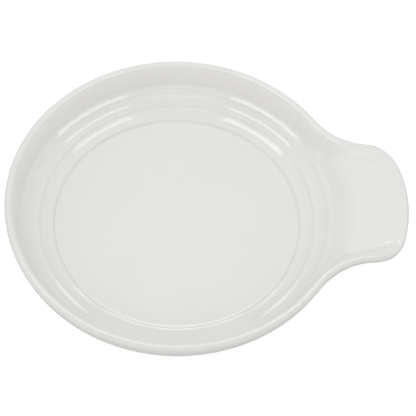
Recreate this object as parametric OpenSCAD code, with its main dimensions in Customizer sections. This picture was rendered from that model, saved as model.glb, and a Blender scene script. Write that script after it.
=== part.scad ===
// Spoon rest: a round glazed stoneware dish with a raised trough at one side for the spoon's handle.
// Millimetres, +Z up. The foot ring stands on z = 0, the dish's axis is Z and the trough points to +X.

/* [Dish] */
// Outside diameter of the rim
dish_d = 130; // [118:1:142]
// Height of the rim above the table
dish_h = 23.6; // [21.5:0.1:27]
// Width of the rolled rim, measured across its top
rim_w = 2.7; // [2.2:0.1:3.6]
// Horizontal run of the inner wall between the rim and the wall's foot
wall_run = 3.3; // [2.6:0.1:4]
// Thickness of the floor, glaze included
floor_t = 4.2; // [3.4:0.1:5]
// How far the outside wall draws in from the rim to where it turns under
outside_lean = 4.0; // [3:0.1:5]
// Height of the steep outside face below the rim
band_h = 7.4; // [6:0.1:8.5]

/* [Rings] */
// Radial distance from one ring to the next
ring_pitch = 5.1; // [4.6:0.1:5.4]
// Height of the lowest ring above the floor
first_rise = 1.15; // [0.8:0.05:1.6]
// Height gained from the lowest ring to the middle one
mid_rise = 2.5; // [2:0.1:3]
// Height gained from the middle ring to the top one
top_rise = 3.4; // [2.8:0.1:3.8]
// Radial width of the step up to the lowest ring
first_riser_w = 0.7; // [0.5:0.1:1.4]
// Radial width of the steps up to the two upper rings
riser_w = 1.1; // [0.9:0.1:1.6]
// Half of the angle at the front over which the two upper rings stop
plain_half = 27; // [12:1:40]

/* [Spoon trough] */
// Distance from the dish's axis to the end of the trough
trough_reach = 87.9; // [82:0.1:96]
// Width across the two lips
trough_w = 52.3; // [46:0.1:58]
// Angle by which each side narrows towards the end
side_taper = 4.5; // [1:0.5:8]
// Depth of the trough below its lips
trough_depth = 3.0; // [2.4:0.1:5]
// How much lower the end's edge is than the rim
end_drop = 2.7; // [1.5:0.1:3.6]
// Radius of the hollow curve that joins each side to the rim, less where the side is too short for it
root_r = 25.8; // [18:0.2:32]
// Radius of the two corners
corner_r = 13.6; // [9:0.2:16]
// Radius of the end's edge, seen from above
end_r = 55.5; // [40:0.5:70]
// Horizontal run over which the dish's wall flares out into the trough
flare_run = 6.5; // [5:0.1:9]
// Thickness of the trough under its middle
trough_t = 4.6; // [4:0.1:6]
// Thickness at the trough's edge
edge_t = 4.6; // [4:0.1:5.6]

/* [Foot and glaze] */
// Outside diameter of the foot ring
foot_d = 90; // [80:0.5:92]
// Width of the foot ring
foot_w = 4; // [3:0.1:6]
// Height of the foot ring below the base
foot_h = 2.0; // [1.4:0.1:3]
// Thickness of the fired glaze
glaze_t = 0.4; // [0.25:0.05:0.6]
// Bare margin wiped clean on either side of the foot ring
wipe = 0.6; // [0.3:0.1:1.2]

/* [Hidden] */
$fn = 96;

// Steps round the outline, one value for each kind of curve in it.
end_steps = 3;
corner_steps = 6;
root_steps = 8;
rim_steps = 54;
// How far the trough's columns spread evenly, from 0 to 1.
fan = 0.5;
// Rows on the lips and on the trough's underside, as shares of the slope's width.
LIP_ROWS = [1, 0.6, 0.25];
UNDER_ROWS = [0.5, 1];

// Colours.
CLAY = [0.80, 0.73, 0.62];
GLAZE = [0.94, 0.94, 0.92];

// Heights above the table.
z_base = foot_h;
z_floor = z_base + floor_t;
z_hem = z_base - glaze_t;
z_trough = dish_h - trough_depth;

// Ring profile: radii counted inwards from the wall's foot, heights from the floor.
rim_r = dish_d / 2;
wall_foot_r = rim_r - rim_w - wall_run;
ledge_w = 0.9;
ledge_rise = 1.05;
low_tread_rise = 0.4;
high_tread_rise = 1.1;
crest_hi_r = wall_foot_r - ledge_w;
crest_mid_r = crest_hi_r - ring_pitch;
crest_lo_r = crest_mid_r - ring_pitch;
crest_lo_z = first_rise;
crest_mid_z = crest_lo_z + mid_rise;
crest_hi_z = crest_mid_z + top_rise;
wall_foot_z = crest_hi_z + ledge_rise;
RINGS = [
  [crest_lo_r - first_riser_w, 0],
  [crest_lo_r, crest_lo_z],
  [crest_mid_r - riser_w, crest_lo_z + low_tread_rise],
  [crest_mid_r, crest_mid_z],
  [crest_hi_r - riser_w, crest_mid_z + high_tread_rise],
  [crest_hi_r, crest_hi_z],
  [wall_foot_r, wall_foot_z]
];
FIRST_PLAIN = 2;
LAST_PLAIN = 5;
plain_fade = 9;

// Rim and edge section: distance in from the outline, and drop below the rim's crest.
rim_inner_drop = 0.5;
rim_outer_in = 0.45;
rim_outer_drop = 0.2;
edge_drop = 1.2;
lip_run = 4.5;
wall_lip = 0.55;
side_drop = 3.3;
side_in = 0.5;
wall_side_in = 0.16;
edge_in = 1.3;
under_run = 7.7;
// How rounded the slope of the wall is, from 0 for straight to 1. The lips of the trough are fully rounded.
ramp_soft = 0.4;

// Outside of the bowl: where the wall turns under, and the curve from there to the flat base.
turn_r = rim_r - outside_lean;
turn_up = 4.9;
turn_z = z_floor + turn_up;
turn_a = 33;
turn_steps = 4;
base_margin = 2.8;
base_edge_r = foot_d / 2 + base_margin;
under_flare_run = 6;
// Distance from the wall's foot by which the trough has become flat.
flat_start = 2.5 * flare_run;

// Foot ring.
foot_ro = foot_d / 2;
foot_ri = foot_ro - foot_w;
foot_round = 0.6;
foot_root = 1;

function mix(a, b, t) = a + (b - a) * t;
function clamp01(t) = max(0, min(1, t));
function eased(x, cap) = x * cap / (x + cap);
function soft(t) = let (u = clamp01(t)) u * u * (3 - 2 * u);
function polar(r, a) = [r * cos(a), r * sin(a)];
function bezier(a, b, c, t) = mix(mix(a, b, t), mix(b, c, t), t);

// Outline of the rim and trough, as arcs that meet tangentially.
// A straight side lies on the line side_n . p = side_c. Each arc's centre follows from its tangencies.
side_n = [sin(side_taper), cos(side_taper)];
side_a = 90 - side_taper;
// The width is measured at this share of the way from the rim to the end.
width_at = 0.3;
side_c = side_n * [mix(rim_r, trough_reach, width_at), trough_w / 2];
end_o = [trough_reach - end_r, 0];
corner_a = side_a - acos((side_c - corner_r - side_n * end_o) / (end_r - corner_r));
corner_o = end_o + polar(end_r - corner_r, corner_a);
// The hollow curve is no larger than leaves a short straight side before the corner.
straight = 0.5;
root_end = polar(1, -side_taper) * corner_o - straight;
root_room = (pow(root_end, 2) - pow(rim_r, 2) + pow(side_c, 2)) / (2 * (rim_r - side_c));
root_fit = min(root_r, root_room);
root_a = side_a - acos((side_c + root_fit) / (rim_r + root_fit));
root_o = polar(rim_r + root_fit, root_a);

// A column of the loft: [point on the outline, inward direction, share of trough, share of end].
function end_col(a) = [end_o + polar(end_r, a), -polar(1, a), 1, 1];
function corner_col(a) =
  [corner_o + polar(corner_r, a), -polar(1, a), 1, soft((side_a - a) / (side_a - corner_a))];
function root_col(t) =
  let (a = 180 + mix(side_a, root_a, t))
  [root_o + polar(root_fit, a), polar(1, a), 1 - soft(t), 0];
function rim_col(a) = [polar(rim_r, a), -polar(1, a), 0, 0, a];
function mirrored(c) = [[c[0].x, -c[0].y], [c[1].x, -c[1].y], c[2], c[3], -c[4]];

// The trough's columns start from evenly spread angles on the ring circles, drawn towards their own way.
outline_half = concat(
  [for (i = [0 : end_steps - 1]) end_col(corner_a * i / end_steps)],
  [for (i = [0 : corner_steps]) corner_col(mix(corner_a, side_a, i / corner_steps))],
  [for (i = [0 : root_steps - 1]) root_col(i / root_steps)]
);
half_cols = len(outline_half);
function lip_foot(c) = c[0] + (rim_w + mix(wall_run * wall_lip, lip_run, c[2])) * c[1];
half_trough = [
  for (i = [0 : half_cols - 1])
    let (
      c = outline_half[i],
      foot = lip_foot(c),
      even = root_a * i / half_cols
    )
    concat(c, mix(atan2(foot.y, foot.x), even, fan))
];
COLUMNS = concat(
  half_trough,
  [for (i = [0 : rim_steps]) rim_col(mix(root_a, 360 - root_a, i / rim_steps))],
  [for (i = [half_cols - 1 : -1 : 1]) mirrored(half_trough[i])]
);

// Share of the plain stretch at the front, by angle about the axis.
function plain(a) =
  let (from_back = abs(((a + 450) % 360) - 180))
  soft((from_back - (180 - plain_half - plain_fade)) / plain_fade);

// Rings, as circles about the axis.
function ring_z(k, a) =
  let (
    p = RINGS[k],
    lo = RINGS[FIRST_PLAIN - 1],
    hi = RINGS[LAST_PLAIN + 1],
    cone = mix(lo[1], hi[1], (p[0] - lo[0]) / (hi[0] - lo[0])),
    share = k >= FIRST_PLAIN && k <= LAST_PLAIN ? plain(a) : 0
  )
  z_floor + mix(p[1], cone, share);
function ring_pts(a) = [for (k = [0 : len(RINGS) - 1]) concat(polar(RINGS[k][0], a), ring_z(k, a))];

// Upper face outside the rings: a wall that flares out to the trough, with a lip that follows the outline.
function flare(r) =
  mix(z_floor + wall_foot_z, z_trough, soft((r - wall_foot_r) / flare_run));
function ramp(t, softness) = mix(clamp01(t), soft(t), softness);
function upper_z(p, c, crest) =
  let (
    d = (p - c[0]) * c[1],
    run = mix(wall_run, lip_run, c[2]),
    up = ramp((rim_w + run - d) / run, mix(ramp_soft, 1, c[2]))
  )
  mix(flare(norm(p)), crest - rim_inner_drop, up);

// Under face: the same, with the underside of the flare.
function under_flare(r) =
  mix(turn_z, z_trough - trough_t, sin(90 * clamp01((r - turn_r) / under_flare_run)));
function edge_low(c) = mix(band_h, edge_t, c[2]);
function under_z(p, c, crest) =
  let (
    d = (p - c[0]) * c[1],
    run = mix(outside_lean - edge_in, under_run, c[2]),
    up = ramp((edge_in + run - d) / run, c[2])
  )
  mix(under_flare(norm(p)), crest - edge_low(c), up);

// One column of points on the glazed surface, from the floor over the rim to the foot ring.
function column_pts(c) =
  let (
    a = c[4],
    crest = dish_h - end_drop * c[3],
    from = polar(wall_foot_r, a),
    foot = lip_foot(c),
    flat_way = norm(foot - from),
    along = (foot - from) / flat_way,
    inner = [eased(flat_way / 3, flare_run), eased(flat_way * 2 / 3, flat_start)],
    lip_w = norm(foot - c[0]) - rim_w,
    low = c[0] + edge_in * c[1],
    under_w = mix((outside_lean - edge_in) * wall_lip, under_run, c[2]),
    under_foot = low + under_w * c[1],
    turn = polar(turn_r, a),
    back_way = norm(under_foot - turn),
    fillet = mix(turn, under_foot, eased(back_way / 2, under_flare_run) / back_way),
    side = c[0] + mix(wall_side_in, side_in, c[2]) * c[1],
    turn_out = (turn_z - z_hem) * tan(turn_a)
  )
  concat(
    ring_pts(a),
    [for (s = inner) let (p = from + s * along) concat(p, upper_z(p, c, crest))],
    [for (s = LIP_ROWS) let (p = c[0] + (rim_w + s * lip_w) * c[1]) concat(p, upper_z(p, c, crest))],
    [
      concat(c[0] + rim_w * c[1], crest - rim_inner_drop),
      concat(c[0] + rim_w / 2 * c[1], crest),
      concat(c[0] + rim_outer_in * c[1], crest - rim_outer_drop),
      concat(c[0], crest - edge_drop),
      concat(side, crest - side_drop),
      concat(low, crest - edge_low(c))
    ],
    [for (s = UNDER_ROWS) let (p = low + s * under_w * c[1]) concat(p, under_z(p, c, crest))],
    [concat(fillet, under_z(fillet, c, crest))],
    [
      for (i = [0 : turn_steps])
        let (p = bezier([turn_r, turn_z], [turn_r - turn_out, z_hem], [base_edge_r, z_hem], i / turn_steps))
        concat(polar(p[0], a), p[1])
    ],
    [concat(polar(foot_ro + wipe, a), z_hem)]
  );

SURFACE = [for (c = COLUMNS) column_pts(c)];
cols = len(SURFACE);
rows = len(SURFACE[0]);
last = rows - 1;

// The same grid moved in by the glaze's thickness. The floor and the base stay level.
function unit(v) = v / norm(v);
function facing(j, k) =
  k == 0 ? [0, 0, 1] :
  k >= last - 1 ? [0, 0, -1] :
  unit(cross(
    SURFACE[j][k + 1] - SURFACE[j][k - 1],
    SURFACE[(j + 1) % cols][k] - SURFACE[(j + cols - 1) % cols][k]
  ));
BISCUIT = [for (j = [0 : cols - 1]) [for (k = [0 : last]) SURFACE[j][k] - glaze_t * facing(j, k)]];

// Triangles between neighbouring columns, and the flat ends.
function strips(k1, base) = [
  for (j = [0 : cols - 1], k = [0 : k1 - 1])
    let (
      a = base + j * rows + k,
      b = base + ((j + 1) % cols) * rows + k
    )
    each [[a, a + 1, b + 1], [a, b + 1, b]]
];
function reversed(faces) = [for (f = faces) [for (i = [len(f) - 1 : -1 : 0]) f[i]]];
function row_loop(k, base) = [for (j = [0 : cols - 1]) base + j * rows + k];
function flat(grid) = [for (column = grid, p = column) p];

module stoneware_body() {
  color(CLAY)
  union() {
    polyhedron(
      flat(BISCUIT),
      concat(
        reversed(strips(last - 1, 0)),
        reversed([row_loop(0, 0)]),
        [row_loop(last - 1, 0)]
      )
    );
    foot_ring();
  }
}

module foot_ring() {
  rotate_extrude()
  polygon([
    [foot_ri, z_base + foot_root],
    [foot_ri, foot_round],
    [foot_ri + foot_round, 0],
    [foot_ro - foot_round, 0],
    [foot_ro, foot_round],
    [foot_ro, z_base + foot_root]
  ]);
}

module glaze_coat() {
  inner = cols * rows;
  color(GLAZE)
  polyhedron(
    concat(flat(SURFACE), flat(BISCUIT)),
    concat(
      reversed(strips(last, 0)),
      strips(last, inner),
      reversed([row_loop(0, 0)]),
      [row_loop(0, inner)],
      [
        for (j = [0 : cols - 1])
          let (
            a = j * rows + last,
            b = ((j + 1) % cols) * rows + last
          )
          each [[a, b, b + inner], [a, b + inner, a + inner]]
      ]
    )
  );
}

module base_glaze() {
  color(GLAZE)
  rotate_extrude()
  polygon([
    [0, z_hem],
    [foot_ri - wipe - glaze_t, z_hem],
    [foot_ri - wipe, z_base],
    [0, z_base]
  ]);
}

stoneware_body();
glaze_coat();
base_glaze();
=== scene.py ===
"""Spoon rest: a white glazed stoneware dish with a trough at one side for the spoon's handle.

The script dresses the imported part, in metres and in the part's own frame. It turns the dish from
its section, and pulls the wall and the rim out into the trough. The overall sizes repeat the
part's. The rings, the ledge above them, the inner wall and the flare are refined, so that they
mirror the light as in the photograph. The rim is a hair smaller, so that the model stays inside
the part's box.
"""

import math

import bmesh
import bpy
from bpy.props import FloatProperty, FloatVectorProperty, PointerProperty
from bpy.types import Operator, Panel, PropertyGroup
from mathutils import Matrix, Vector


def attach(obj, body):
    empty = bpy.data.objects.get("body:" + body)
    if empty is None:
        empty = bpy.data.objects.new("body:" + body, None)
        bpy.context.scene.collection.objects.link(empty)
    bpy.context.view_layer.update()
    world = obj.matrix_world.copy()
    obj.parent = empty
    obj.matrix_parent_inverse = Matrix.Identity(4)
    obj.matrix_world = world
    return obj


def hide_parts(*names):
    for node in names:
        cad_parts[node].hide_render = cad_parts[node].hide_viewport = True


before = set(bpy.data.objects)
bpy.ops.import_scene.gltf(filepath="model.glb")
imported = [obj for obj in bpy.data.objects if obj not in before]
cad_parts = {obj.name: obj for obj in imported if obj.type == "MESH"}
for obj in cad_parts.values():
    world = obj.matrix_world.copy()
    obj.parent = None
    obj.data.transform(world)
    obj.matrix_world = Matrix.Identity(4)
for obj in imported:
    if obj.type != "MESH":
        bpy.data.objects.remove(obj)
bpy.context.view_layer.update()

bl_info = {
    "name": "Spoon rest",
    "version": (1, 0, 0),
    "blender": (4, 5, 0),
    "location": "View3D > Sidebar > Spoon rest",
    "description": "Builds a white glazed stoneware spoon rest with a handle trough",
    "category": "Object",
}

MM = 0.001

# Columns over the trough and over the rest of the rim. The clay has a share of the glaze's.
TROUGH_COLUMNS = 128
RIM_COLUMNS = 168
BODY_DENSITY = 0.5
# Rows of the section, from the wall's foot over the rim to the hem of the glaze. Those of the rim
# are counted from one point of its section to the next.
FLARE_ROWS = 12
LIP_ROWS = 9
RIM_ROWS = 4
UNDER_ROWS = 6
FILLET_ROWS = 8
TURN_ROWS = 14
# Rows crowd towards the foot of the wall, inside and outside.
ROW_CROWD = 1.6
ROUND_SEGMENTS = 6
# Points closer than this become one.
WELD = 0.01 * MM
# Passes of smoothing, each this share of the way to the neighbours' mean.
SMOOTH_PASSES = 3
SMOOTH_SHARE = 0.5

# Rings. Each tread curves up to the next ring's crisp edge: it bends at these shares of its width
# and rise, and each bend has its rounding.
LOW_BENDS = ((0.44, 0.2, 0.8 * MM), (0.91, 0.765, 0.25 * MM))
HIGH_BENDS = ((0.38, 0.14, 0.45 * MM), (0.62, 0.387, 0.3 * MM), (0.86, 0.685, 0.3 * MM))
CRISP = 0.3 * MM
# The floor sweeps up a little before the lowest step.
SWEEP_W = 2.6 * MM
SWEEP_RISE = 0.4 * MM
SWEEP_ROUND = 2.1 * MM
FLOOR_ROUND = 0.3 * MM
# The upper rings fade over this angle at each end of the plain stretch, where the lowest ring
# keeps a tread of this width and rise.
PLAIN_FADE = math.radians(9)
PLAIN_TREAD = (1.6 * MM, 0.22 * MM)
# Ledge from the top ring to the wall's first row, and its slope where it runs into the trough.
LEDGE_W = 2.5 * MM
LEDGE_RISE = 2.5 * MM
LEDGE_SLOPE = 0.51
# It meets the wall this far in from the wall's first row, and this far below it.
LEDGE_BACK = (0.35 * MM, 1.4 * MM)
LEDGE_ROUND = 0.8 * MM
# It runs into the trough fully up to the first of these angles, and not past the second.
LEDGE_RUNS = (math.radians(18), math.radians(40))

# Rim: distances in from the outline, and drops below its crest. Its inner edge lies lower, but
# less so at the trough's end.
RIM_INNER_DROP = 0.64 * MM
END_INNER_DROP = 0.25 * MM
# A narrow slope along the inner edge catches the light: its width, its share of the inner drop,
# and the shares of its width at which it has points.
RIM_SLOPE_W = 0.85 * MM
RIM_SLOPE_SHARE = 0.73
RIM_SLOPE_WAYS = (0, 1 / 3, 2 / 3, 1)
RIM_CREST_IN = 1.0 * MM
RIM_OUTER_IN = 0.45 * MM
RIM_OUTER_DROP = 0.2 * MM
EDGE_DROP = 1.2 * MM
# The outside face below the rim, on the trough and on the dish, down to its lower corner.
SIDE_DROP = 3.3 * MM
SIDE_IN = 0.5 * MM
WALL_SIDE_IN = 0.16 * MM
EDGE_IN = 1.3 * MM

# Runs of the trough's lip and of its under face. On the dish, this share of a wall's run has
# close rows.
LIP_RUN = 4.5 * MM
UNDER_RUN = 7.7 * MM
WALL_LIP = 0.55
# How far the inner wall eases at its foot and top, and how steeply the flare starts.
RAMP_SOFT = 0.4
FLARE_START = 1.1
# The trough's width is taken at this share of its length. Its straight sides are at least so long.
WIDTH_AT = 0.3
STRAIGHT = 0.5 * MM

# Outside of the bowl: the height above the floor at which the wall turns under, the angle at which
# it does, and how far outside the foot ring it reaches the base.
TURN_UP = 4.9 * MM
TURN_ANGLE = math.radians(33)
BASE_MARGIN = 2.8 * MM
UNDER_FLARE_RUN = 6 * MM
# Rounding of the foot ring's edges, and that of the base glaze as a share of its thickness.
FOOT_EDGE = 0.6 * MM
BASE_ROUND = 0.6

# Steep walls take a warmer tone: the tilt at which it counts fully, and its share of the tone.
STEEP_FULL = 0.7
STEEP_TINT = 0.2
# The bends, per millimetre, over which an edge darkens, partly as glaze drawn thin and partly as
# painted shade, and a hollow darkens with painted shade, and the most that each changes the tone.
EDGE_BENDS = (-0.06, -0.34)
EDGE_TINT = 0.34
HOLLOW_BENDS = (0.36, 0.9)
HOLLOW_TINT = 0.75
# Sizes of the materials' patterns.
GLAZE_DRIFT = 25 * MM
GLAZE_RIPPLE = 6 * MM
KILN_BLUSH = 20 * MM
GROG_SPACING = 0.9 * MM
CLAY_GRIT = 0.4 * MM

# Camera, from the circles in the photograph: it looks at the middle of the dish's floor.
CAMERA_ELEVATION = math.radians(57.61)
CAMERA_ROLL = math.radians(0.85)
CAMERA_DISTANCE = 0.65
CAMERA_CLIP = (0.01, 20)
FOCAL_PIXELS = 1686.9
IMAGE_SIZE = 416
FLOOR_CENTRE_AT = (176.9, 221.8)
SENSOR = 36

# Light: an even sky, and soft boxes with their direction from the dish, distance, turn in degrees,
# width and height, and power.
SKY_LEVEL = 0.755
MIRRORED_SKY = 0.4
SOFT_BOXES = (
    ("front_box", (0, -0.7, 0.71), 0.9, 0, (0.6, 0.5), 0.86),
    ("left_fill", (-0.88, -0.15, 0.45), 0.9, 0, (0.4, 0.4), 0.45),
    ("right_fill", (0.88, 0.15, 0.45), 0.9, 0, (0.4, 0.4), 0.28),
    ("left_box", (-0.461, -0.081, 0.884), 0.78, 38, (0.37, 0.08), 0.32),
    ("right_box", (0.461, -0.081, 0.884), 0.78, -38, (0.37, 0.08), 0.26),
    ("back_box", (0, 0.7, 0.714), 0.9, 0, (0.34, 0.14), 0.38),
)
# Table top: its paint lights the dish, and to the camera it is a white of its own that takes a
# share of shadow.
TABLE_R = 3
TABLE_SIDES = 64
TABLE_PAINT = "#dadada"
TABLE_SHADE = 0.3
TABLE_GLOW = 0.82


def mix(a, b, t):
    """The value or point at a share of the way from a to b."""
    return a + (b - a) * t


def clamp01(t):
    """The nearest number from 0 to 1."""
    return max(0.0, min(1.0, t))


def soft(t):
    """A share from 0 to 1, eased at both ends."""
    t = clamp01(t)
    return t * t * (3 - 2 * t)


def polar(r, a):
    """The point at a radius and an angle, seen from above."""
    return Vector((r * math.cos(a), r * math.sin(a)))


def linear(hex_colour):
    """An sRGB hex colour as linear red, green, blue."""
    parts = [int(hex_colour[i:i + 2], 16) / 255 for i in (1, 3, 5)]
    return [c / 12.92 if c <= 0.04045 else ((c + 0.055) / 1.055) ** 2.4 for c in parts]


class DishSizes(PropertyGroup):
    """Sizes of the dish and its rings."""

    rim_d: FloatProperty(
        name="Rim diameter", description="Outside diameter of the rim",
        default=129.97 * MM, unit="LENGTH")
    height: FloatProperty(
        name="Height", description="Height of the rim above the table",
        default=23.6 * MM, unit="LENGTH")
    rim_w: FloatProperty(
        name="Rim width", description="Width of the rolled rim across its top",
        default=2.7 * MM, unit="LENGTH")
    wall_run: FloatProperty(
        name="Wall run", description="Horizontal run of the inner wall below the rim",
        default=2.05 * MM, unit="LENGTH")
    floor_t: FloatProperty(
        name="Floor thickness", description="Thickness of the floor, glaze included",
        default=4.2 * MM, unit="LENGTH")
    outside_lean: FloatProperty(
        name="Outside lean", description="How far the outside wall draws in below the rim",
        default=4 * MM, unit="LENGTH")
    band_h: FloatProperty(
        name="Outside band", description="Height of the steep outside face below the rim",
        default=7.4 * MM, unit="LENGTH")
    ring_pitch: FloatProperty(
        name="Ring pitch", description="Radial distance from one ring to the next",
        default=5.2 * MM, unit="LENGTH")
    first_rise: FloatProperty(
        name="First rise", description="Height of the lowest ring above the floor",
        default=1.2 * MM, unit="LENGTH")
    mid_rise: FloatProperty(
        name="Middle rise", description="Height gained from the lowest ring to the middle one",
        default=2.4 * MM, unit="LENGTH")
    top_rise: FloatProperty(
        name="Top rise", description="Height gained from the middle ring to the top one",
        default=2.9 * MM, unit="LENGTH")
    first_riser_w: FloatProperty(
        name="First step", description="Radial width of the step up to the lowest ring",
        default=0.5 * MM, unit="LENGTH")
    plain_half: FloatProperty(
        name="Plain front", description="Half of the angle over which the upper rings stop",
        default=math.radians(27), subtype="ANGLE")


class TroughSizes(PropertyGroup):
    """Sizes of the trough for the spoon's handle."""

    reach: FloatProperty(
        name="Reach", description="Distance from the dish's axis to the end of the trough",
        default=87.9 * MM, unit="LENGTH")
    width: FloatProperty(
        name="Width", description="Width across the two lips",
        default=52.3 * MM, unit="LENGTH")
    taper: FloatProperty(
        name="Taper", description="Angle by which each side narrows towards the end",
        default=math.radians(4.5), subtype="ANGLE")
    depth: FloatProperty(
        name="Depth", description="Depth of the trough below its lips",
        default=3 * MM, unit="LENGTH")
    end_drop: FloatProperty(
        name="End drop", description="How much lower the end's edge is than the rim",
        default=2.7 * MM, unit="LENGTH")
    root_r: FloatProperty(
        name="Root radius", description="Radius of the hollow curve from the rim to a side",
        default=25.8 * MM, unit="LENGTH")
    corner_r: FloatProperty(
        name="Corner radius", description="Radius of the two corners",
        default=13.6 * MM, unit="LENGTH")
    end_r: FloatProperty(
        name="End radius", description="Radius of the end's edge, seen from above",
        default=55.5 * MM, unit="LENGTH")
    flare_run: FloatProperty(
        name="Flare run", description="Run over which the wall flares out into the trough",
        default=7.6 * MM, unit="LENGTH")
    thickness: FloatProperty(
        name="Thickness", description="Thickness of the trough under its middle",
        default=4.6 * MM, unit="LENGTH")
    edge_t: FloatProperty(
        name="Edge thickness", description="Thickness at the trough's edge",
        default=4.6 * MM, unit="LENGTH")


class FootSizes(PropertyGroup):
    """Sizes of the foot ring and the glaze."""

    foot_d: FloatProperty(
        name="Foot diameter", description="Outside diameter of the foot ring",
        default=90 * MM, unit="LENGTH")
    foot_w: FloatProperty(
        name="Foot width", description="Width of the foot ring",
        default=4 * MM, unit="LENGTH")
    foot_h: FloatProperty(
        name="Foot height", description="Height of the foot ring below the base",
        default=2 * MM, unit="LENGTH")
    glaze_t: FloatProperty(
        name="Glaze thickness", description="Thickness of the fired glaze",
        default=0.4 * MM, unit="LENGTH")
    wipe: FloatProperty(
        name="Wiped margin", description="Bare margin on either side of the foot ring",
        default=0.6 * MM, unit="LENGTH")


class Finishes(PropertyGroup):
    """Colours of the glaze and the clay, and the painted shade of the glaze's edges and hollows."""

    glaze: FloatVectorProperty(
        name="Glaze", description="White glaze where it lies evenly",
        default=linear("#ebebe9"), subtype="COLOR")
    # Steep walls take this warmer tone.
    steep_wall_tone: FloatVectorProperty(
        name="Run glaze", description="Glaze that has run down a wall and shows the clay's warmth",
        default=linear("#f3ede2"), subtype="COLOR")
    # Edges take this darker tone, partly as glaze drawn thin and partly as painted shade. It also
    # clouds the glaze at random.
    thin_glaze_and_edge_shade: FloatVectorProperty(
        name="Thin glaze", description="Glaze that has drawn thin on an edge",
        default=linear("#d0cdc7"), subtype="COLOR")
    # Hollows take this darker tone as painted shade.
    hollow_painted_shade: FloatVectorProperty(
        name="Pooled glaze", description="Glaze that has gathered in a hollow",
        default=linear("#d6d5d1"), subtype="COLOR")
    clay: FloatVectorProperty(
        name="Clay", description="Bare fired clay",
        default=linear("#cbb898"), subtype="COLOR")
    clay_grog: FloatVectorProperty(
        name="Grog", description="Darker grains in the clay",
        default=linear("#9d8665"), subtype="COLOR")


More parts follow.
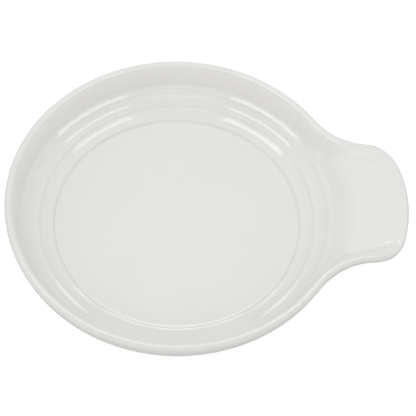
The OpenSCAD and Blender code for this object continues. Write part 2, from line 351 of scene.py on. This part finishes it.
class DishForm:
    """The dish's section and plan, worked out from the sizes."""

    def __init__(self, scene):
        dish, trough, foot = scene.spoon_rest_dish, scene.spoon_rest_trough, scene.spoon_rest_foot
        self.dish, self.trough, self.foot = dish, trough, foot
        self.rim_r = dish.rim_d / 2
        self.z_base = foot.foot_h
        self.z_hem = foot.foot_h - foot.glaze_t
        self.z_floor = foot.foot_h + dish.floor_t
        self.z_trough = dish.height - trough.depth
        self.foot_ro = foot.foot_d / 2
        self.foot_ri = self.foot_ro - foot.foot_w
        self.hem_r = self.foot_ro + foot.wipe
        self.wall_foot_r = self.rim_r - dish.rim_w - dish.wall_run
        self.crest_hi_r = self.wall_foot_r - LEDGE_W
        self.crest_mid_r = self.crest_hi_r - dish.ring_pitch
        self.crest_lo_r = self.crest_mid_r - dish.ring_pitch
        # Heights of the rings and of the wall's foot are counted from the floor.
        self.mid_ring_z = dish.first_rise + dish.mid_rise
        self.top_ring_z = self.mid_ring_z + dish.top_rise
        self.wall_foot_z = self.top_ring_z + LEDGE_RISE
        self.turn_r = self.rim_r - dish.outside_lean
        self.turn_z = self.z_floor + TURN_UP
        self.base_edge_r = self.foot_ro + BASE_MARGIN
        self.plan()
        self.sections = {}

    def plan(self):
        """Arcs and a straight side that meet tangentially, from the end's middle to the rim."""
        t = self.trough
        self.side_a = math.pi / 2 - t.taper
        side_n = polar(1, self.side_a)
        side_c = side_n.dot(Vector((mix(self.rim_r, t.reach, WIDTH_AT), t.width / 2)))
        self.end_o = Vector((t.reach - t.end_r, 0))
        slope = (side_c - t.corner_r - side_n.dot(self.end_o)) / (t.end_r - t.corner_r)
        self.corner_a = self.side_a - math.acos(slope)
        self.corner_o = self.end_o + polar(t.end_r - t.corner_r, self.corner_a)
        # The hollow curve is no larger than leaves a short straight side.
        root_end = polar(1, -t.taper).dot(self.corner_o) - STRAIGHT
        root_room = (root_end ** 2 - self.rim_r ** 2 + side_c ** 2) / (2 * (self.rim_r - side_c))
        self.root_r = min(t.root_r, root_room)
        root_lean = math.acos((side_c + self.root_r) / (self.rim_r + self.root_r))
        self.root_a = self.side_a - root_lean
        self.root_o = polar(self.rim_r + self.root_r, self.root_a)
        self.side_from = self.corner_o + polar(t.corner_r, self.side_a)
        self.side_to = self.root_o - polar(self.root_r, self.side_a)
        self.legs = [
            t.end_r * self.corner_a,
            t.corner_r * (self.side_a - self.corner_a),
            (self.side_to - self.side_from).length,
            self.root_r * (self.side_a - self.root_a),
        ]

    def outline(self, share):
        """Point, inward direction, share of trough and share of end, part of the way along half
        the plan."""
        walk = share * sum(self.legs)
        leg = 0
        while leg < len(self.legs) - 1 and walk > self.legs[leg]:
            walk -= self.legs[leg]
            leg += 1
        t = clamp01(walk / self.legs[leg])
        if leg == 0:
            a = self.corner_a * t
            return self.end_o + polar(self.trough.end_r, a), -polar(1, a), 1, 1
        if leg == 1:
            a = mix(self.corner_a, self.side_a, t)
            return self.corner_o + polar(self.trough.corner_r, a), -polar(1, a), 1, soft(1 - t)
        if leg == 2:
            return mix(self.side_from, self.side_to, t), -polar(1, self.side_a), 1, 0
        a = math.pi + mix(self.side_a, self.root_a, t)
        return self.root_o + polar(self.root_r, a), polar(1, a), 1 - soft(t), 0

    def column(self, angle):
        """The outline where the column at this angle ends."""
        if abs(angle) >= self.root_a:
            return polar(self.rim_r, angle), -polar(1, angle), 0, 0
        point, inward, trough, end = self.outline(abs(angle) / self.root_a)
        if angle < 0:
            point, inward = Vector((point.x, -point.y)), Vector((inward.x, -inward.y))
        return point, inward, trough, end

    def ring_corners(self):
        """Corners of the section from the axis to the wall's foot, with the rounding of each."""
        d = self.dish
        rings = [
            (self.crest_lo_r, d.first_rise),
            (self.crest_mid_r, self.mid_ring_z),
            (self.crest_hi_r, self.top_ring_z),
        ]
        corners = [
            (0, 0, 0),
            (self.crest_lo_r - d.first_riser_w - SWEEP_W, 0, SWEEP_ROUND),
            (self.crest_lo_r - d.first_riser_w, SWEEP_RISE, FLOOR_ROUND),
        ]
        for (r, z), (next_r, next_z), bends in zip(rings, rings[1:], (LOW_BENDS, HIGH_BENDS)):
            corners.append((r, z, CRISP))
            for across, up, rounding in bends:
                corners.append((mix(r, next_r, across), mix(z, next_z, up), rounding))
        ledge_in, ledge_drop = LEDGE_BACK
        return corners + [
            (self.crest_hi_r, self.top_ring_z, CRISP),
            (self.wall_foot_r - ledge_in, self.wall_foot_z - ledge_drop, LEDGE_ROUND),
            (self.wall_foot_r, self.wall_foot_z, 0),
        ]

    def ledge_z(self, r):
        """Height above the floor of the ledge, where it runs on into the trough."""
        return self.top_ring_z + (r - self.crest_hi_r) * LEDGE_SLOPE

    def ledge_share(self, p):
        """1 where the ledge runs on into the trough, 0 where a wall stands on it."""
        full, ended = LEDGE_RUNS
        return soft((ended - abs(math.atan2(p.y, p.x))) / (ended - full))

    def plain_share(self, angle):
        """1 over the plain stretch at the front, 0 where the rings are whole."""
        from_front = abs(math.remainder(angle + math.pi / 2, math.tau))
        return soft((self.dish.plain_half + PLAIN_FADE - from_front) / PLAIN_FADE)

    def plain_z(self, r):
        """Height of the plain stretch: the lowest ring's tread, then a slope to the wall."""
        tread_w, tread_rise = PLAIN_TREAD
        out = r - self.crest_lo_r
        tread_z = self.dish.first_rise + tread_rise * clamp01(out / tread_w)
        slope_w = self.wall_foot_r - self.crest_lo_r - tread_w
        return self.z_floor + mix(tread_z, self.wall_foot_z, clamp01((out - tread_w) / slope_w))

    def crest_z(self, end):
        """Height of the rim's crest, which drops towards the trough's end."""
        return self.dish.height - self.trough.end_drop * end

    def side_h(self, trough):
        """Height of the outside face below the crest, on the dish or on the trough."""
        return mix(self.dish.band_h, self.trough.edge_t, trough)

    def upper_z(self, p, column, room):
        """Upper face outside the rings: a wall that flares out to the trough, with a lip along the
        outline whose run fits the room."""
        point, inward, trough, end = column
        share = self.ledge_share(p)
        run = min(room, mix(self.dish.wall_run, LIP_RUN, trough))
        up = (self.dish.rim_w + run - (p - point).dot(inward)) / run
        foot = mix(self.wall_foot_z, self.ledge_z(self.wall_foot_r), share)
        way = clamp01((p.length - self.wall_foot_r) / self.trough.flare_run)
        out = soft(way) + FLARE_START * way * (1 - way) ** 2
        flare = mix(self.z_floor + foot, self.z_trough, out)
        ramp = mix(clamp01(up), soft(up), mix(RAMP_SOFT, 1, max(trough, share)))
        return mix(flare, self.crest_z(end) - inner_drop(end), ramp)

    def under_z(self, p, column, room):
        """Under face: the same, below the flare."""
        point, inward, trough, end = column
        run = min(room, mix(self.dish.outside_lean - EDGE_IN, UNDER_RUN, trough))
        up = (EDGE_IN + run - (p - point).dot(inward)) / run
        rise = math.sin(math.pi / 2 * clamp01((p.length - self.turn_r) / UNDER_FLARE_RUN))
        flare = mix(self.turn_z, self.z_trough - self.trough.thickness, rise)
        ramp = mix(clamp01(up), soft(up), trough)
        return mix(flare, self.crest_z(end) - self.side_h(trough), ramp)

    def section(self, angle):
        """Points of one column from the wall's foot over the rim to the hem of the glaze."""
        key = round(angle, 6)
        if key not in self.sections:
            column = self.column(angle)
            inner = self.upper_face(column, polar(self.wall_foot_r, angle))
            outer = self.under_face(column, polar(self.turn_r, angle))
            rim = flowing([inner[-2], *self.rim_points(column), outer[1]], RIM_ROWS)
            self.sections[key] = inner + rim + outer + self.turned_under(angle)
        return self.sections[key]

    def upper_face(self, column, start):
        """Points from the wall's foot to just below the rim's inner edge."""
        point, inward, trough, _ = column
        dish = self.dish
        room = (start - point).dot(inward) - dish.rim_w
        lip_w = min(room, mix(dish.wall_run * WALL_LIP, LIP_RUN, trough))
        lip_foot = point + (dish.rim_w + lip_w) * inward
        rim_in = point + dish.rim_w * inward
        ways = [(i / FLARE_ROWS) ** ROW_CROWD for i in range(1, FLARE_ROWS + 1)]
        rows = [mix(start, lip_foot, way) for way in ways]
        rows += [mix(lip_foot, rim_in, i / LIP_ROWS) for i in range(1, LIP_ROWS)]
        return [Vector((*p, self.upper_z(p, column, room))) for p in rows]

    def under_face(self, column, turn):
        """Points from the outside face's lower corner to where the wall turns under."""
        point, inward, trough, _ = column
        low = point + EDGE_IN * inward
        room = (turn - low).dot(inward)
        under_w = min(room, mix((self.dish.outside_lean - EDGE_IN) * WALL_LIP, UNDER_RUN, trough))
        under_foot = low + under_w * inward
        rows = [mix(low, under_foot, i / UNDER_ROWS) for i in range(1, UNDER_ROWS + 1)]
        ways = [1 - (1 - i / FILLET_ROWS) ** ROW_CROWD for i in range(1, FILLET_ROWS)]
        rows += [mix(under_foot, turn, way) for way in ways]
        return [Vector((*p, self.under_z(p, column, room))) for p in rows]

    def rim_points(self, column):
        """Points of the rim's section, from its inner edge over the crest and down the outside."""
        point, inward, trough, end = column
        inner = inner_drop(end)
        places = [
            (self.dish.rim_w - RIM_SLOPE_W * t, inner * (1 - RIM_SLOPE_SHARE * t))
            for t in RIM_SLOPE_WAYS
        ]
        places += [
            (RIM_CREST_IN, 0),
            (RIM_OUTER_IN, RIM_OUTER_DROP),
            (0, EDGE_DROP),
            (mix(WALL_SIDE_IN, SIDE_IN, trough), SIDE_DROP),
            (EDGE_IN, self.side_h(trough)),
        ]
        crest = self.crest_z(end)
        return [Vector((*(point + d * inward), crest - drop)) for d, drop in places]

    def turned_under(self, angle):
        """The outside from where the wall turns under to the hem of the glaze."""
        reach = (self.turn_z - self.z_hem) * math.tan(TURN_ANGLE)
        a = Vector((self.turn_r, self.turn_z))
        b = Vector((self.turn_r - reach, self.z_hem))
        c = Vector((self.base_edge_r, self.z_hem))
        ways = [i / TURN_ROWS for i in range(TURN_ROWS + 1)]
        rz = [mix(mix(a, b, t), mix(b, c, t), t) for t in ways]
        rz.append(Vector((self.hem_r, self.z_hem)))
        return [Vector((*polar(p.x, angle), p.y)) for p in rz]


def inner_drop(end):
    """Drop from the rim's crest to its inner edge, less at the trough's low end."""
    return mix(RIM_INNER_DROP, END_INNER_DROP, end)


def flowing(points, steps):
    """A smooth curve through all but the first and last point, which only set its direction."""
    curve = []
    for a, b, c, d in zip(points, points[1:], points[2:], points[3:]):
        for i in range(steps):
            t = i / steps
            bend = (2 * a - 5 * b + 4 * c - d) + t * (3 * (b - c) + d - a)
            curve.append(b + 0.5 * t * ((c - a) + t * bend))
    return curve + [points[-2]]


def round_off(bm, geom, affect, radius):
    """Rounds the corners of a wire, or edges."""
    bmesh.ops.bevel(bm, geom=geom, offset=radius, offset_type="OFFSET", affect=affect,
                    segments=ROUND_SEGMENTS, profile=0.5, material=-1)


def turn_wire(bm, geom, angle, steps, closed=False):
    """Turns a wire about the dish's axis, and returns the wire where it ends."""
    return bmesh.ops.spin(bm, geom=geom, cent=(0, 0, 0), axis=(0, 0, 1), angle=angle,
                          steps=steps, use_merge=closed)["geom_last"]


def profile_wire(bm, form):
    """Draws the section at the trough's near root, and returns the layer of its row numbers."""
    row = bm.verts.layers.int.new("row")
    sizes = form.ring_corners()
    corners = [bm.verts.new((r, 0, form.z_floor + z)) for r, z, _ in sizes]
    for a, b in zip(corners, corners[1:]):
        bm.edges.new((a, b))
    foot = corners[-1]
    for corner, (_, _, rounding) in zip(corners, sizes):
        if rounding:
            round_off(bm, [corner], "VERTICES", rounding)
    to_root = Matrix.Rotation(-form.root_a, 3, "Z")
    bmesh.ops.rotate(bm, verts=bm.verts[:], cent=(0, 0, 0), matrix=to_root)
    for number, p in enumerate(form.section(-form.root_a), 1):
        step = bm.verts.new(p)
        step[row] = number
        bm.edges.new((foot, step))
        foot = step
    return row


def dish_skin(form, density=1.0):
    """The glazed face of the dish, from the floor's middle over the rim to the hem at the foot."""
    bm = bmesh.new()
    row = profile_wire(bm, form)
    over_trough = 2 * form.root_a
    wire = turn_wire(bm, bm.verts[:] + bm.edges[:], over_trough, round(TROUGH_COLUMNS * density))
    turn_wire(bm, wire, math.tau - over_trough, round(RIM_COLUMNS * density))
    bmesh.ops.remove_doubles(bm, verts=bm.verts[:], dist=WELD)
    pull_trough(bm, form, row)
    bmesh.ops.recalc_face_normals(bm, faces=bm.faces[:])
    middle = min(bm.faces, key=lambda f: f.calc_center_median().xy.length)
    if middle.normal.z < 0:
        bmesh.ops.reverse_faces(bm, faces=bm.faces[:])
    bm.normal_update()
    return bm


def pull_trough(bm, form, row):
    """Pulls the turned wall and rim out into the trough, and flattens the rings at the front."""
    pulled = []
    for v in bm.verts:
        angle, r = math.atan2(v.co.y, v.co.x), v.co.xy.length
        if v[row]:
            v.co = form.section(angle)[v[row] - 1]
            if not v.is_boundary:
                pulled.append(v)
        elif form.crest_hi_r < r and abs(angle) < LEDGE_RUNS[1]:
            v.co.z = mix(v.co.z, form.z_floor + form.ledge_z(r), form.ledge_share(v.co))
        elif form.crest_lo_r < r < form.wall_foot_r:
            v.co.z = mix(v.co.z, form.plain_z(r), form.plain_share(angle))
    for _ in range(SMOOTH_PASSES):
        bmesh.ops.smooth_vert(bm, verts=pulled, factor=SMOOTH_SHARE,
                              use_axis_x=True, use_axis_y=True, use_axis_z=True)


def mark_glaze(bm):
    """Stores each vertex's share of the steep walls' warmer tone, by its steepness, and how the
    surface bends.

    The bend is half the mean curvature along its edges, per millimetre: below 0 on an edge of the
    dish and above 0 in a hollow. It places the painted shade in hollows, and on edges the darker
    tone that is partly thin glaze and partly painted shade.
    """
    run = bm.verts.layers.float.new("steep_wall_tone")
    curvature = bm.verts.layers.float.new("edge_and_hollow_bend")
    for v in bm.verts:
        v[run] = STEEP_TINT * soft((1 - abs(v.normal.z)) / STEEP_FULL)
        ways = [e.other_vert(v).co - v.co for e in v.link_edges]
        bend = sum(way.dot(v.normal) / way.length_squared for way in ways) / len(ways)
        v[curvature] = max(-1, min(1, bend * MM))
    for _ in range(SMOOTH_PASSES):
        means = {
            v: sum(e.other_vert(v)[curvature] for e in v.link_edges) / len(v.link_edges)
            for v in bm.verts
        }
        for v, mean in means.items():
            v[curvature] = mix(v[curvature], mean, SMOOTH_SHARE)


def add_node(tree, kind, settings=None, sockets=None):
    """Adds a node with its settings, and fills its sockets with values or other nodes' outputs."""
    made = tree.nodes.new(kind)
    for name, value in (settings or {}).items():
        setattr(made, name, value)
    for name, value in (sockets or {}).items():
        if isinstance(value, bpy.types.NodeSocket):
            tree.links.new(value, made.inputs[name])
        else:
            made.inputs[name].default_value = value
    return made


def new_material(name):
    """An empty node material, with its tree and its output."""
    material = bpy.data.materials.new(name)
    material.use_nodes = True
    tree = material.node_tree
    tree.nodes.clear()
    return material, tree, tree.nodes.new("ShaderNodeOutputMaterial")


def white_glaze(finish):
    """Opaque white stoneware glaze, dipped and fired glossy.

    It is a layer of glass full of white grains: it looks white and even, with clear reflections
    that waver a little. Steep walls are a little warmer. Edges are a little darker, partly where
    the glaze draws thin and partly with painted shade, and hollows are darker with painted shade.
    """
    name = "opaque_white_stoneware_glaze"
    if name in bpy.data.materials:
        return bpy.data.materials[name]
    material, tree, out = new_material(name)
    place = add_node(tree, "ShaderNodeTexCoord").outputs["Object"]
    curvature = add_node(tree, "ShaderNodeAttribute", {"attribute_name": "edge_and_hollow_bend"}).outputs["Fac"]
    steep = add_node(tree, "ShaderNodeAttribute", {"attribute_name": "steep_wall_tone"}).outputs["Fac"]
    # Edges darken, partly as glaze drawn thin and partly as painted shade.
    thin_and_shaded_edge = add_node(tree, "ShaderNodeMapRange", sockets={
        "Value": curvature, "From Min": EDGE_BENDS[0], "From Max": EDGE_BENDS[1],
        "To Min": 0, "To Max": EDGE_TINT}).outputs["Result"]
    # Hollows darken with painted shade.
    hollow_shade = add_node(tree, "ShaderNodeMapRange", sockets={
        "Value": curvature, "From Min": HOLLOW_BENDS[0], "From Max": HOLLOW_BENDS[1],
        "To Min": 0, "To Max": HOLLOW_TINT}).outputs["Result"]
    # The dipped layer drifts in thickness, which clouds its tone and its gloss very slightly.
    drift = add_node(tree, "ShaderNodeTexNoise", sockets={
        "Vector": place, "Scale": 1 / GLAZE_DRIFT, "Detail": 3}).outputs["Fac"]
    cloud = add_node(tree, "ShaderNodeMapRange", sockets={
        "Value": drift, "From Min": 0.35, "From Max": 0.65,
        "To Min": 0, "To Max": 0.04}).outputs["Result"]
    gloss = add_node(tree, "ShaderNodeMapRange", sockets={
        "Value": drift, "From Min": 0.3, "From Max": 0.7,
        "To Min": 0.06, "To Max": 0.1}).outputs["Result"]
    tone = (*finish.glaze, 1)
    # Mixes in the random cloud, the steep walls' warmer tone, the darker edges, which are partly
    # painted shade, and the painted shade in hollows.
    for share, colour in ((cloud, finish.thin_glaze_and_edge_shade), (steep, finish.steep_wall_tone),
                          (thin_and_shaded_edge, finish.thin_glaze_and_edge_shade), (hollow_shade, finish.hollow_painted_shade)):
        tone = add_node(tree, "ShaderNodeMix", {"data_type": "RGBA"}, {
            "Factor": share, "A": tone, "B": (*colour, 1)}).outputs["Result"]
    # The fired surface ripples by a few micrometres.
    ripple = add_node(tree, "ShaderNodeTexNoise", sockets={
        "Vector": place, "Scale": 1 / GLAZE_RIPPLE, "Detail": 2})
    bump = add_node(tree, "ShaderNodeBump", sockets={
        "Height": ripple.outputs["Fac"], "Strength": 0.15, "Distance": 0.02 * MM})
    shader = add_node(tree, "ShaderNodeBsdfPrincipled", sockets={
        "Base Color": tone, "Roughness": gloss, "IOR": 1.52, "Normal": bump.outputs["Normal"]})
    tree.links.new(shader.outputs["BSDF"], out.inputs["Surface"])
    return material


def bare_stoneware(finish):
    """Fired stoneware clay left bare where the glaze was wiped off.

    It is buff, matt and slightly gritty, with darker grains of grog and a blush from the kiln.
    """
    material, tree, out = new_material("bare_fired_stoneware")
    place = add_node(tree, "ShaderNodeTexCoord").outputs["Object"]
    # The grains are about 0.5 mm across.
    grain = add_node(tree, "ShaderNodeTexVoronoi", sockets={
        "Vector": place, "Scale": 1 / GROG_SPACING})
    speck = add_node(tree, "ShaderNodeMapRange", sockets={
        "Value": grain.outputs["Distance"], "From Min": 0.12, "From Max": 0.28,
        "To Min": 0.75, "To Max": 0}).outputs["Result"]
    blush = add_node(tree, "ShaderNodeTexNoise", sockets={
        "Vector": place, "Scale": 1 / KILN_BLUSH, "Detail": 4})
    flush = add_node(tree, "ShaderNodeMapRange", sockets={
        "Value": blush.outputs["Fac"], "From Min": 0.35, "From Max": 0.7,
        "To Min": 0, "To Max": 0.3}).outputs["Result"]
    tone = (*finish.clay, 1)
    for share in (flush, speck):
        tone = add_node(tree, "ShaderNodeMix", {"data_type": "RGBA"}, {
            "Factor": share, "A": tone, "B": (*finish.clay_grog, 1)}).outputs["Result"]
    grit = add_node(tree, "ShaderNodeTexNoise", sockets={
        "Vector": place, "Scale": 1 / CLAY_GRIT, "Detail": 2})
    bump = add_node(tree, "ShaderNodeBump", sockets={
        "Height": grit.outputs["Fac"], "Strength": 0.5, "Distance": 0.05 * MM})
    shader = add_node(tree, "ShaderNodeBsdfPrincipled", sockets={
        "Base Color": tone, "Roughness": 0.82, "IOR": 1.5, "Normal": bump.outputs["Normal"]})
    tree.links.new(shader.outputs["BSDF"], out.inputs["Surface"])
    return material


def finished_piece(bm, name, material, node):
    """Makes the mesh a smooth piece that stands for a node of the part."""
    mesh = bpy.data.meshes.new(name)
    bm.to_mesh(mesh)
    bm.free()
    mesh.shade_smooth()
    mesh.materials.append(material)
    piece = bpy.data.objects.new(name, mesh)
    bpy.context.scene.collection.objects.link(piece)
    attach(piece, "root")
    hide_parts(node)
    return piece


class SPOONREST_OT_glaze_coat(Operator):
    """Turn the glazed face of the dish and pull out its trough"""

    bl_idname = "spoon_rest.glaze_coat"
    bl_label = "Glaze coat"

    def execute(self, context):
        form = DishForm(context.scene)
        bm = dish_skin(form)
        mark_glaze(bm)
        glaze = white_glaze(context.scene.spoon_rest_finish)
        piece = finished_piece(bm, "glazed_dish", glaze, "glaze_coat")
        skin = piece.modifiers.new("glaze thickness", "SOLIDIFY")
        skin.thickness = form.foot.glaze_t
        skin.offset = -1
        return {"FINISHED"}


class SPOONREST_OT_stoneware_body(Operator):
    """Make the clay under the glaze, with the bare foot ring"""

    bl_idname = "spoon_rest.stoneware_body"
    bl_label = "Stoneware body"

    def execute(self, context):
        form = DishForm(context.scene)
        bm = dish_skin(form, BODY_DENSITY)
        for v in bm.verts:
            v.co -= v.normal * form.foot.glaze_t
        hem = [e for e in bm.edges if e.is_boundary]
        foot_edges = []
        outer, inner, base = form.foot_ro, form.foot_ri, form.z_base
        for r, z in ((outer, base), (outer, 0), (inner, 0), (inner, base)):
            grown = bmesh.ops.extrude_edge_only(bm, edges=hem)["geom"]
            hem = [g for g in grown if isinstance(g, bmesh.types.BMEdge) and g.is_boundary]
            for v in {v for e in hem for v in e.verts}:
                v.co = (*(v.co.xy.normalized() * r), z)
            foot_edges += hem if z == 0 else []
        bmesh.ops.contextual_create(bm, geom=hem)
        round_off(bm, foot_edges, "EDGES", FOOT_EDGE)
        bmesh.ops.recalc_face_normals(bm, faces=bm.faces[:])
        clay = bare_stoneware(context.scene.spoon_rest_finish)
        finished_piece(bm, "clay_body", clay, "stoneware_body")
        return {"FINISHED"}


class SPOONREST_OT_base_glaze(Operator):
    """Turn the disc of glaze inside the foot ring"""

    bl_idname = "spoon_rest.base_glaze"
    bl_label = "Base glaze"

    def execute(self, context):
        form = DishForm(context.scene)
        glaze_t = form.foot.glaze_t
        edge_r = form.foot_ri - form.foot.wipe
        low, high = form.z_hem, form.z_base
        bm = bmesh.new()
        corners = ((0, low), (edge_r - glaze_t, low), (edge_r, high), (0, high))
        wire = [bm.verts.new((r, 0, z)) for r, z in corners]
        for a, b in zip(wire, wire[1:]):
            bm.edges.new((a, b))
        round_off(bm, [wire[1]], "VERTICES", glaze_t * BASE_ROUND)
        turn_wire(bm, bm.verts[:] + bm.edges[:], math.tau, RIM_COLUMNS, closed=True)
        bmesh.ops.remove_doubles(bm, verts=bm.verts[:], dist=WELD)
        bmesh.ops.recalc_face_normals(bm, faces=bm.faces[:])
        mark_glaze(bm)
        glaze = white_glaze(context.scene.spoon_rest_finish)
        finished_piece(bm, "glazed_base", glaze, "base_glaze")
        return {"FINISHED"}


class SPOONREST_OT_stage(Operator):
    """Set up the floor, the soft boxes, the sky and the camera"""

    bl_idname = "spoon_rest.stage"
    bl_label = "Stage"

    def execute(self, context):
        scene = context.scene
        scene.view_settings.view_transform = "Standard"
        self.sky(scene)
        self.floor(scene)
        for box in SOFT_BOXES:
            self.soft_box(scene, *box)
        self.camera(scene, Vector((0, 0, DishForm(scene).z_floor)))
        return {"FINISHED"}

    def sky(self, scene):
        """An even surround, full white to the camera and dimmer where the glaze mirrors it."""
        scene.world = bpy.data.worlds.new("surround")
        scene.world.use_nodes = True
        tree = scene.world.node_tree
        tree.nodes.clear()
        path = add_node(tree, "ShaderNodeLightPath")
        level = add_node(tree, "ShaderNodeMapRange", sockets={
            "Value": path.outputs["Is Glossy Ray"], "To Min": SKY_LEVEL, "To Max": MIRRORED_SKY})
        seen = add_node(tree, "ShaderNodeMath", {"operation": "MAXIMUM"}, {
            0: level.outputs["Result"], 1: path.outputs["Is Camera Ray"]})
        light = add_node(tree, "ShaderNodeBackground", sockets={
            "Color": (1, 1, 1, 1), "Strength": seen.outputs["Value"]})
        add_node(tree, "ShaderNodeOutputWorld", sockets={"Surface": light.outputs["Background"]})

    def floor(self, scene):
        """A wide table top that is white to the camera and keeps the dish's soft shadow."""
        bm = bmesh.new()
        bmesh.ops.create_circle(bm, cap_ends=True, radius=TABLE_R, segments=TABLE_SIDES)
        mesh = bpy.data.meshes.new("table_top")
        bm.to_mesh(mesh)
        bm.free()
        material, tree, out = new_material("matt_white_table")
        paint = add_node(tree, "ShaderNodeBsdfDiffuse", sockets={
            "Color": (*linear(TABLE_PAINT), 1)})
        shade = add_node(tree, "ShaderNodeBsdfDiffuse", sockets={
            "Color": (TABLE_SHADE, TABLE_SHADE, TABLE_SHADE, 1)})
        glow = add_node(tree, "ShaderNodeEmission", sockets={
            "Color": (1, 1, 1, 1), "Strength": TABLE_GLOW})
        white = add_node(tree, "ShaderNodeAddShader", sockets={
            0: shade.outputs["BSDF"], 1: glow.outputs["Emission"]})
        path = add_node(tree, "ShaderNodeLightPath")
        mixed = add_node(tree, "ShaderNodeMixShader", sockets={
            0: path.outputs["Is Camera Ray"], 1: paint.outputs["BSDF"],
            2: white.outputs["Shader"]})
        tree.links.new(mixed.outputs["Shader"], out.inputs["Surface"])
        mesh.materials.append(material)
        table = bpy.data.objects.new("table_top", mesh)
        scene.collection.objects.link(table)

    def soft_box(self, scene, name, way, distance, turn, size, power):
        """A rectangular soft box that faces the dish, turned in its own plane."""
        data = bpy.data.lights.new(name, "AREA")
        data.shape = "RECTANGLE"
        data.size, data.size_y = size
        data.energy = power
        lamp = bpy.data.objects.new(name, data)
        lamp.location = Vector(way).normalized() * distance
        facing = (-lamp.location).to_track_quat("-Z", "Y").to_matrix()
        lamp.rotation_euler = (facing @ Matrix.Rotation(math.radians(turn), 3, "Z")).to_euler()
        scene.collection.objects.link(lamp)

    def camera(self, scene, target):
        """The photograph's camera, turned so that the target falls where the photograph has it."""
        data = bpy.data.cameras.new("camera")
        data.sensor_width = SENSOR
        data.lens = FOCAL_PIXELS / IMAGE_SIZE * SENSOR
        data.clip_start, data.clip_end = CAMERA_CLIP
        back = Vector((0, -math.cos(CAMERA_ELEVATION), math.sin(CAMERA_ELEVATION)))
        right = Matrix.Rotation(CAMERA_ROLL, 3, back) @ Vector((1, 0, 0))
        up = back.cross(right)
        aim = -back
        aim += right * (IMAGE_SIZE / 2 - FLOOR_CENTRE_AT[0]) / FOCAL_PIXELS
        aim += up * (FLOOR_CENTRE_AT[1] - IMAGE_SIZE / 2) / FOCAL_PIXELS
        aim.normalize()
        right = (right - aim * right.dot(aim)).normalized()
        pose = Matrix((right, right.cross(aim), -aim)).transposed().to_4x4()
        pose.translation = target + back * CAMERA_DISTANCE
        camera = bpy.data.objects.new("camera", data)
        camera.matrix_world = pose
        scene.collection.objects.link(camera)
        scene.camera = camera


class SPOONREST_PT_panel(Panel):
    """Sizes, colours and steps of the spoon rest"""

    bl_idname = "SPOONREST_PT_panel"
    bl_label = "Spoon rest"
    bl_space_type = "VIEW_3D"
    bl_region_type = "UI"
    bl_category = "Spoon rest"

    def draw(self, context):
        for group in GROUPS:
            settings = getattr(context.scene, group)
            box = self.layout.box()
            for name in settings.__annotations__:
                box.prop(settings, name)
        for operator in OPERATORS:
            self.layout.operator(operator.bl_idname)


GROUPS = {
    "spoon_rest_dish": DishSizes,
    "spoon_rest_trough": TroughSizes,
    "spoon_rest_foot": FootSizes,
    "spoon_rest_finish": Finishes,
}
OPERATORS = (
    SPOONREST_OT_stoneware_body,
    SPOONREST_OT_glaze_coat,
    SPOONREST_OT_base_glaze,
    SPOONREST_OT_stage,
)


def register():
    for name, group in GROUPS.items():
        bpy.utils.register_class(group)
        setattr(bpy.types.Scene, name, PointerProperty(type=group))
    for cls in (*OPERATORS, SPOONREST_PT_panel):
        bpy.utils.register_class(cls)


def unregister():
    for cls in (SPOONREST_PT_panel, *reversed(OPERATORS)):
        bpy.utils.unregister_class(cls)
    for name, group in reversed(GROUPS.items()):
        delattr(bpy.types.Scene, name)
        bpy.utils.unregister_class(group)


def main():
    register()
    bpy.ops.spoon_rest.stoneware_body()
    bpy.ops.spoon_rest.glaze_coat()
    bpy.ops.spoon_rest.base_glaze()
    bpy.ops.spoon_rest.stage()


if __name__ == "__main__":
    main()
